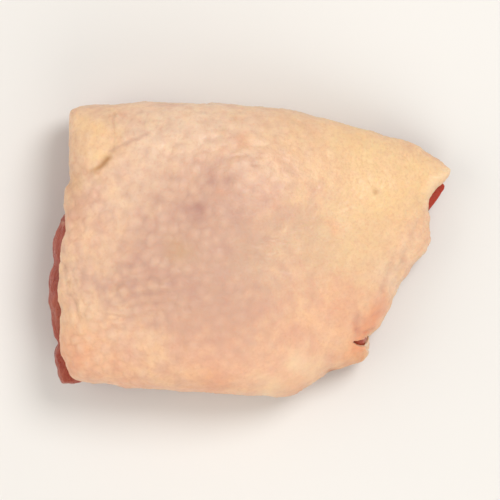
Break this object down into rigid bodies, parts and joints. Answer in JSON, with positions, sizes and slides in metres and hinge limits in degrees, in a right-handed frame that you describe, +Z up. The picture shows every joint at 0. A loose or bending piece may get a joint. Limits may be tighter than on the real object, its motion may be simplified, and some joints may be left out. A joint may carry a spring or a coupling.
{
  "type": "raw chicken thigh",
  "caption": "Raw skin-on chicken thigh lying skin side up: a rounded lump of dark meat under a loose sheet of skin, wide at the cut end and drawn out to a thin tip.",
  "frame": {"origin": "on the surface that the thigh lies on, under the middle of its bounding box", "axes": "+X from the wide cut end to the thin pointed end, +Y to the far long side, +Z up through the skin"},
  "size_m": [0.1075, 0.0794, 0.035],
  "materials": {
    "skin": "moist, pale pinkish cream, finely pimpled",
    "meat": "moist, dusky pink raw meat"
  },
  "bodies": {
    "root": {"meat": "meat", "skin": "skin"}
  },
  "joints": []
}
